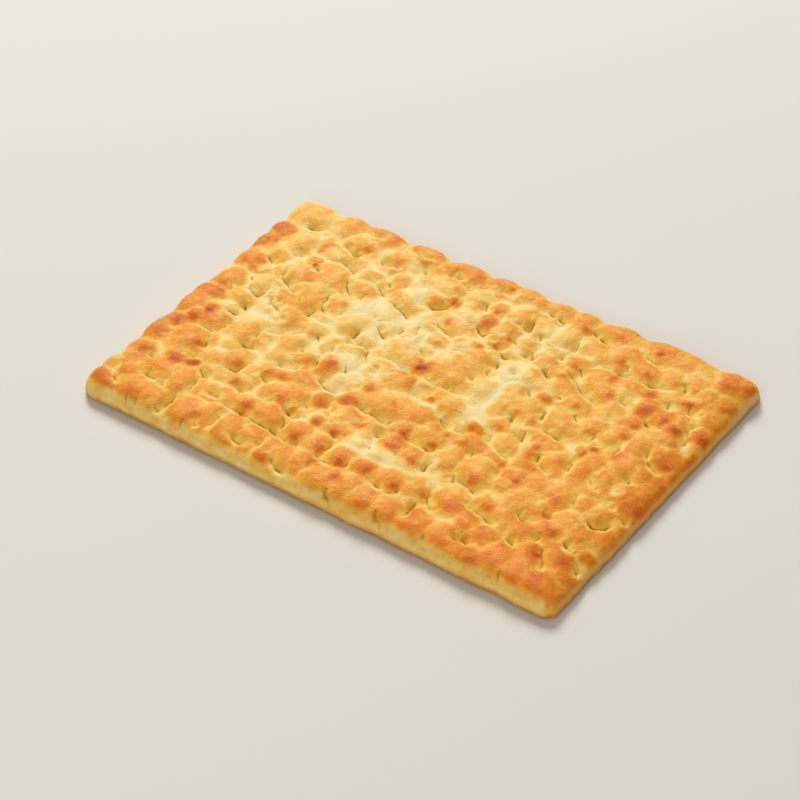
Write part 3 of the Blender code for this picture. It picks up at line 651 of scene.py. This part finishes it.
def slit_field(p, parts):
    """The short slits of the shoulder: how deep each point is drawn in, the way
    across the nearest one, and how sharp it is there."""
    total, sharp = np.zeros(len(p)), np.zeros(len(p))
    offset = np.full(len(p), 20.0)
    for side, marks in SLITS.items():
        along = p[:, 0] if side in ("front", "back") else p[:, 1]
        for top, high, bottom, low, deep in marks:
            across, down = bottom - top, low - high
            t = ((along - top) * across + (p[:, 2] - high) * down) / (across**2 + down**2)
            t = np.clip(t, 0, 1)
            # a slit is widest near its upper end, bows, and runs out to nothing
            bow = 0.9 * np.sin(math.pi * 2 * t) * (1 if deep > 0.9 else 0.5)
            beside = along - (top + across * t) + bow
            far = np.hypot(beside, p[:, 2] - (high + down * t))
            width = 1.9 * (1.15 - 0.75 * t)
            total = np.maximum(total, deep * np.exp(-((far / width) ** 2)) * (1.1 - 0.6 * t) * parts[side])
            here = deep * np.exp(-((far / 4.0) ** 2)) * (1.2 - 0.7 * t) * parts[side]
            offset = np.where(here > sharp, beside, offset)
            sharp = np.maximum(sharp, here)
    return total, offset, sharp


n_rings = len(rings) + len(under)
out_x = np.concatenate([nx, np.tile(lnx, n_rings)])
out_y = np.concatenate([ny, np.tile(lny, n_rings)])
parts = {k: np.concatenate([v * (inside < 14), np.tile(lshare[k], n_rings)]) for k, v in share.items()}
slit, slit_offset, slit_cut = slit_field(points, parts)
slit[-len(under) * len(lx) :] = 0
slit_cut[-len(under) * len(lx) :] = 0
points[:, 0] -= out_x * slit * 1.5
points[:, 1] -= out_y * slit * 1.5
slit_cut *= 0.8

# ---------------------------------------------------- what the oven did to it
z = points[:, 2]
flat3 = points * np.array([1, 1, 1.4])
brown = np.concatenate([browned, np.tile(browned[loop], n_rings)])
uneven = soft(brown, 0.2, 0.5)
brown = PALE + (brown - PALE) * 1.17 - 0.138
brown += (0.13 + 0.09 * uneven) * layers(flat3, 17, 71, 3) + (0.05 + 0.15 * uneven) * layers(flat3, 7, 81, 3)
brown[: NX * NY] += 0.40 * np.clip(proud, -0.5, 0.5)
brown -= 0.35 * np.maximum(0, brown - 0.62)
brown[: NX * NY] += 0.12 * np.exp(-(((HX + px) / 55) ** 2)) * (1 - 0.8 * soft(py, 60, 170)) + 0.08 * np.exp(-(((HX - px) / 50) ** 2)) * (1 - soft(py, 60, 150)) - 0.12 * palest
brown[: NX * NY] += 0.07 * soft(px + py, 150, 420)
# towards the back the crowns stand out more from paler dough
back_like = soft(py, -60, 70) * (1 - soft(px, 40, 200))
brown[: NX * NY] += 0.35 * back_like * np.clip(brown[: NX * NY] - 0.42, -0.3, 0.12)
brown[: NX * NY] *= 1 - 0.28 * (1 - soft(inside + 2.0 * layers(flat, 12, 175, 2), 0.0, 9.0)) * (share["left"] + share["back"])
# painted shade: pale dough is made yellower on its near sides, which turn away from the key light, than on its crowns
along_x, along_y = np.gradient(smoothed(height, 1.0).reshape(NX, NY), xs, ys)
near_side_shade = np.clip(0.75 * along_y - 0.66 * along_x, 0, 0.6).ravel() * top_xy_free
brown[: NX * NY] += 0.32 * near_side_shade * (1 - soft(brown[: NX * NY], 0.3, 0.6))
# crowns just in front of a crease brown more; the far slopes are made paler as part of their painted shade
brown[: NX * NY] += 0.10 * fold["crest"] - 0.20 * slope
# the lips are painted pale, partly their own paleness and partly a painted highlight
brown[: NX * NY] = brown[: NX * NY] * (1 - 0.85 * lip) + 0.04 * lip
# blisters scorch whatever they rise from
brown[: NX * NY] += np.clip(0.62 * dark, 0, 0.95) * (1.08 - brown[: NX * NY])

# the shoulder and the side wall stay pale where the heat reached them less; the
# brown of each pillow ends in a tongue there
front_like = np.clip(np.concatenate([share["front"] + 0.25 * share["left"], np.tile(lshare["front"] + 0.25 * lshare["left"], n_rings)]), 0, 1)
# the pale wall goes round the front left corner
front_like = np.maximum(front_like, soft(-points[:, 0], HX - 34, HX - 12) * soft(-points[:, 1], HY - 60, HY - 24))
all_in = np.concatenate([inside, np.tile(np.full(len(lx), 0.0), n_rings)])
puffed = np.concatenate([puff, np.tile(puff[loop], n_rings)])
line_in = 5.0 - 1.2 * (puffed - 3.0) + 2.0 * layers(points * np.array([1, 1, 0.2]), 24, 91, 2)
line_in += 2.0 * layers(points * np.array([1, 1, 0.3]), 9, 93, 2)
wall_front = 1 - soft(all_in, line_in - 4.5, line_in + 4.0)
right_like = np.concatenate([share["right"], np.tile(lshare["right"], n_rings)])
# the end that is nearest the back right corner stayed pale up to the top
end_back = soft(points[:, 0], HX - 45, HX - 12) * soft(points[:, 1], 95, 160)
line_z = 9.0 + 0.9 * right_like + 3.5 * end_back + 2.6 * layers(points * np.array([1, 1, 0.2]), 24, 95, 2)
wall_other = 1 - soft(z, line_z - 3.0, line_z + 4.5 - 2.5 * right_like)
wall_other *= all_in < SHOULDER
wall = wall_front * front_like + wall_other * (1 - front_like)
target = 0.27 + 0.18 * (1 - front_like) - 0.25 * end_back + 0.32 * layers(flat3, 15, 97, 3) + 0.20 * layers(flat3, 5, 98, 2)
brown = brown * (1 - wall) + (target + 0.15 * (brown - 0.5)) * wall
# a warmer strip where the side wall turns in to meet the tray
strip = (1 - soft(z + 1.2 * layers(flat3, 18, 99, 2), 1.8, 5.5)) * (all_in <= 0.01)
brown += strip * 0.28

blister = np.concatenate([dark, np.zeros(len(points) - NX * NY)])
# painted shade: the bottoms of the creases and of the slits are marked for an olive tint
crease_shade = np.concatenate([fold["line"], np.zeros(len(points) - NX * NY)])
crease_shade = np.maximum(crease_shade, slit * 1.2)
# browned at the very foot of the wall, with painted shade reaching up the lower wall
foot_brown_and_shade = (1 - soft(z + 1.2 * layers(flat3, 12, 96, 3), 0.8, 10.0)) * (1 - 0.3 * right_like)
foot_brown_and_shade[: NX * NY] = 0
underside = np.zeros(len(points))
underside[-len(under) * len(lx) :] = 1.0
underside[-(len(under) + 1) * len(lx) : -len(under) * len(lx)] = 0.8

# ------------------------------------------------------------------ the mesh
faces = []
a = index[:-1, :-1].ravel()
b = index[1:, :-1].ravel()
c = index[1:, 1:].ravel()
d = index[:-1, 1:].ravel()
faces.append(np.column_stack([a, b, c, d]))
previous = loop
base = NX * NY
for k in range(n_rings):
    current = base + k * len(loop) + np.arange(len(loop))
    faces.append(np.column_stack([previous, current, np.roll(current, -1), np.roll(previous, -1)]))
    previous = current
quads = np.vstack(faces)
mesh = bpy.data.meshes.new("focaccia_sheet")
mesh.from_pydata((points / 1000).tolist(), [], quads.tolist() + [previous[::-1].tolist()])
mesh.validate()
mesh.update()
mesh.shade_smooth()


def keep(name, values):
    made = mesh.attributes.new(name, "FLOAT", "POINT")
    made.data.foreach_set("value", np.ascontiguousarray(values, np.float32))


keep("brown", np.clip(brown, 0, 1.6))
keep("blister", np.clip(blister, 0, 1.6))
keep("crease", np.clip(crease_shade, 0, 1.3))
keep("end", wall * right_like)
below = np.zeros(len(points) - NX * NY)
# painted shade: the far slopes of creases and furrows, and the hollows of the creases, are marked for a yellower tint
keep("slope", np.concatenate([slope, below]))
keep("hollow_shade", np.concatenate([np.clip(fold["depth"] * (1 - 0.8 * fold["lip"]), 0, 1) * (1 - np.clip(dark, 0, 1)), below]))
across, cut = np.concatenate([np.clip(fold["across"], -20, 20), below + 20]), np.concatenate([fold["cut"], below])
keep("across", np.where(slit_cut > cut, slit_offset, across))
keep("cut", np.maximum(cut, slit_cut))
# painted shadow lines in the furrows between rows that press together, sharp in some stretches only
keep("beside", np.concatenate([np.clip(gap / 0.45, -20, 20), below + 20]))
keep("pressed", np.concatenate([meet * soft(layers(flat, 31, 171, 2), -0.35, 0.35) * np.exp(-((gap / 1.6) ** 2)), below]))
keep("foot_brown_and_shade", foot_brown_and_shade)
keep("underside", underside)

sheet = bpy.data.objects.new("focaccia_sheet", mesh)
bpy.context.scene.collection.objects.link(sheet)


# ---------------------------------------------------------------- materials
def srgb(r, g, b):
    return tuple(((v / 255) / 12.92 if v / 255 <= 0.04045 else ((v / 255 + 0.055) / 1.055) ** 2.4) for v in (r, g, b)) + (1.0,)


class Nodes:
    """Short calls to lay out a material's nodes."""

    def __init__(self, name):
        self.material = bpy.data.materials.new(name)
        self.material.use_nodes = True
        self.tree = self.material.node_tree
        self.shader = self.tree.nodes["Principled BSDF"]

    def add(self, kind, **settings):
        node = self.tree.nodes.new(kind)
        for key, value in settings.items():
            setattr(node, key, value)
        return node

    def link(self, source, target):
        self.tree.links.new(source, target)

    def attribute(self, name):
        return self.add("ShaderNodeAttribute", attribute_name=name).outputs["Fac"]

    def noise(self, scale, detail=4.0, rough=0.55, distortion=0.0):
        place = self.add("ShaderNodeTexCoord").outputs["Object"]
        node = self.add("ShaderNodeTexNoise")
        self.link(place, node.inputs["Vector"])
        node.inputs["Scale"].default_value = scale
        node.inputs["Detail"].default_value = detail
        node.inputs["Roughness"].default_value = rough
        node.inputs["Distortion"].default_value = distortion
        return node.outputs["Fac"]

    def cells(self, scale, feature="F1", smooth=0.0):
        place = self.add("ShaderNodeTexCoord").outputs["Object"]
        node = self.add("ShaderNodeTexVoronoi", feature=feature)
        self.link(place, node.inputs["Vector"])
        node.inputs["Scale"].default_value = scale
        return node.outputs["Distance"]

    def math(self, operation, a, b=None, clamp=False):
        node = self.add("ShaderNodeMath", operation=operation, use_clamp=clamp)
        for k, value in enumerate((a, b)):
            if value is None:
                continue
            if isinstance(value, (int, float)):
                node.inputs[k].default_value = value
            else:
                self.link(value, node.inputs[k])
        return node.outputs[0]

    def span(self, value, low, high, to_low=0.0, to_high=1.0, smooth=True):
        node = self.add("ShaderNodeMapRange", interpolation_type="SMOOTHSTEP" if smooth else "LINEAR")
        self.link(value, node.inputs["Value"])
        for key, v in (("From Min", low), ("From Max", high), ("To Min", to_low), ("To Max", to_high)):
            node.inputs[key].default_value = v
        return node.outputs["Result"]

    def ramp(self, value, stops):
        node = self.add("ShaderNodeValToRGB")
        self.link(value, node.inputs["Fac"])
        elements = node.color_ramp.elements
        while len(elements) < len(stops):
            elements.new(0.5)
        for element, (at, colour) in zip(elements, stops):
            element.position, element.color = at, colour
        return node.outputs["Color"]

    def mix(self, amount, a, b, kind="MIX"):
        node = self.add("ShaderNodeMix", data_type="RGBA", blend_type=kind)
        if isinstance(amount, (int, float)):
            node.inputs[0].default_value = amount
        else:
            self.link(amount, node.inputs[0])
        for k, value in ((6, a), (7, b)):
            if isinstance(value, tuple):
                node.inputs[k].default_value = value
            else:
                self.link(value, node.inputs[k])
        return node.outputs[2]


def crust():
    m = Nodes("baked_crust")
    brown_at = m.attribute("brown")
    mottle = m.noise(240, 5, 0.6)
    grain = m.noise(900, 3, 0.55)
    # the mottling is stronger where the skin is brown
    vary = m.span(brown_at, 0.1, 0.8, 0.03, 0.13, smooth=False)
    tone = m.math("ADD", brown_at, m.math("MULTIPLY", m.math("SUBTRACT", mottle, 0.5), vary))
    tone = m.math("ADD", tone, m.math("MULTIPLY", m.math("SUBTRACT", grain, 0.5), 0.05))
    tone = m.math("ADD", tone, m.math("MULTIPLY", m.attribute("blister"), 0.12))
    # a few small scorched specks
    specks = m.math("MULTIPLY", m.span(m.noise(340, 1, 0.5), 0.68, 0.78), m.span(m.noise(22, 2, 0.5), 0.45, 0.62))
    tone = m.math("ADD", tone, m.math("MULTIPLY", specks, 0.26))
    tone = m.math("MULTIPLY", tone, 0.75, clamp=True)
    colour = m.ramp(tone, (
        (0.00, srgb(255, 232, 170)),
        (0.10, srgb(255, 224, 146)),
        (0.24, srgb(255, 208, 110)),
        (0.36, srgb(253, 190, 79)),
        (0.48, srgb(249, 167, 53)),
        (0.60, srgb(241, 143, 32)),
        (0.72, srgb(229, 118, 17)),
        (0.86, srgb(206, 88, 10)),
        (1.00, srgb(160, 60, 8)),
    ))
    # painted shade: the steep far side of each crease, and the hollow round it, are tinted a deeper yellow, as they
    # look in shade
    colour = m.mix(m.math("MULTIPLY", m.attribute("slope"), 0.5), colour, srgb(254, 206, 98))
    colour = m.mix(m.span(m.attribute("hollow_shade"), 0.10, 0.75, 0.0, 0.6), colour, srgb(252, 202, 76))
    # painted shade: the bottom of each crease and slit is tinted olive, as if in shadow
    deep = m.span(m.attribute("crease"), 0.25, 1.0)
    colour = m.mix(m.math("MULTIPLY", deep, 0.55), colour, srgb(208, 164, 46))
    # and a thin dark line of painted shadow where the skin folds, darkest in short stretches
    waver = m.math("MULTIPLY", m.math("SUBTRACT", m.noise(260, 3, 0.5), 0.5), 1.6)
    from_line = m.math("ABSOLUTE", m.math("ADD", m.attribute("across"), waver))
    fold = m.math("MULTIPLY", m.span(from_line, 0.1, 2.3, 1.0, 0.0), m.span(m.attribute("cut"), 0.15, 0.8))
    fold = m.math("MULTIPLY", fold, m.span(m.noise(95, 2, 0.5), 0.36, 0.58, 0.35, 0.78))
    colour = m.mix(fold, colour, srgb(168, 124, 34))
    # and fainter lines of painted shadow where rows of pillows press against each other
    from_furrow = m.math("ABSOLUTE", m.math("ADD", m.attribute("beside"), waver))
    pressed = m.math("MULTIPLY", m.span(from_furrow, 0.1, 1.5, 0.62, 0.0), m.span(m.attribute("pressed"), 0.15, 0.75))
    colour = m.mix(pressed, colour, srgb(176, 124, 28))
    # the right end is duller, where it lay against the tray's rim
    dull = m.math("MULTIPLY", m.attribute("end"), m.span(m.noise(48, 3, 0.55), 0.36, 0.64, 0.35, 0.9))
    colour = m.mix(dull, colour, srgb(240, 186, 118))
    # the underside took the tray's heat and is browned; the very foot of the wall is browner too, and the darkening
    # that reaches up the lower wall is painted shade
    foot_tone = m.ramp(m.noise(55, 4, 0.6), ((0.3, srgb(196, 146, 90)), (0.7, srgb(158, 108, 62))))
    colour = m.mix(m.attribute("foot_brown_and_shade"), colour, foot_tone)
    blotch = m.noise(38, 6, 0.62)
    under_tone = m.ramp(blotch, ((0.30, srgb(214, 160, 88)), (0.50, srgb(190, 126, 60)), (0.68, srgb(140, 82, 38))))
    colour = m.mix(m.attribute("underside"), colour, under_tone)
    m.link(colour, m.shader.inputs["Base Color"])

    # the skin's roughness varies at random, a little glossier in places
    rough = m.span(m.noise(130, 4, 0.5), 0.3, 0.7, 0.64, 0.48)
    m.link(rough, m.shader.inputs["Roughness"])
    m.shader.inputs["Specular IOR Level"].default_value = 0.25
    m.shader.inputs["Subsurface Weight"].default_value = 0.25
    m.shader.inputs["Subsurface Radius"].default_value = (0.004, 0.002, 0.0008)
    m.shader.inputs["Subsurface Scale"].default_value = 0.6

    # the skin's fine wrinkles, grain and pin-holes
    wrinkle = m.noise(430, 2, 0.5, 0.3)
    grit = m.noise(1500, 2, 0.5)
    pores = m.span(m.cells(330), 0.0, 0.22)
    relief = m.math("ADD", m.math("MULTIPLY", wrinkle, 0.8), m.math("MULTIPLY", grit, 0.08))
    relief = m.math("ADD", relief, m.math("MULTIPLY", pores, 0.10))
    bump = m.add("ShaderNodeBump")
    bump.inputs["Strength"].default_value = 0.8
    bump.inputs["Distance"].default_value = 0.0013
    m.link(relief, bump.inputs["Height"])
    m.link(bump.outputs["Normal"], m.shader.inputs["Normal"])
    return m.material


sheet.data.materials.append(crust())
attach(sheet, "root")
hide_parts("focaccia")

# -------------------------------------------------------------------- stage
bpy.ops.mesh.primitive_plane_add(size=8, location=(0, 0, -0.0002))
floor = bpy.context.object
floor.name = "floor"
paper = Nodes("pale_floor")
paper.shader.inputs["Base Color"].default_value = (0.80, 0.79, 0.77, 1)
paper.shader.inputs["Roughness"].default_value = 0.9
floor.data.materials.append(paper.material)

# ------------------------------------------------------------------- camera
AZ, EL, ROLL = math.radians(41.51), math.radians(40.96), math.radians(-5.88)
back = Vector((math.sin(AZ) * math.cos(EL), -math.cos(AZ) * math.cos(EL), math.sin(EL)))
right = (-back).cross(Vector((0, 0, 1))).normalized()
up = right.cross(-back)
right_rolled = right * math.cos(ROLL) + up * math.sin(ROLL)
up_rolled = up * math.cos(ROLL) - right * math.sin(ROLL)
look_at = Vector((-0.0082, -0.0160, 0.0))
camera = bpy.data.objects.new("camera", bpy.data.cameras.new("camera"))
bpy.context.scene.collection.objects.link(camera)
axes = Matrix((right_rolled, up_rolled, back)).transposed()
camera.matrix_world = Matrix.Translation(look_at + back * 2.3875) @ axes.to_4x4()
camera.data.sensor_width = 36.0
camera.data.lens = 2412.4 / 800 * 36.0
camera.data.clip_end = 50
bpy.context.scene.camera = camera


# ------------------------------------------------------------------- lights
def softbox(name, azimuth, elevation, distance, size, power, colour):
    """A soft square light, placed round the bread and aimed at its middle."""
    a, e = math.radians(azimuth), math.radians(elevation)
    place = Vector((math.sin(a) * math.cos(e), -math.cos(a) * math.cos(e), math.sin(e))) * distance
    lamp = bpy.data.lights.new(name, "AREA")
    lamp.shape, lamp.size = "SQUARE", size
    lamp.energy, lamp.color = power, colour
    made = bpy.data.objects.new(name, lamp)
    made.location = place
    made.rotation_euler = (-place).to_track_quat("-Z", "Y").to_euler()
    bpy.context.scene.collection.objects.link(made)
    return made


softbox("key", 41.5 + 180, 38, 7.0, 2.3, 422, (1.0, 0.97, 0.91))
softbox("fill", 14, 30, 4.0, 2.4, 43, (1.0, 0.91, 0.76))
world = bpy.data.worlds.new("studio")
world.use_nodes = True
world.node_tree.nodes["Background"].inputs["Color"].default_value = (1.0, 0.95, 0.85, 1)
world.node_tree.nodes["Background"].inputs["Strength"].default_value = 0.28
bpy.context.scene.world = world
bpy.context.scene.view_settings.view_transform = "Standard"
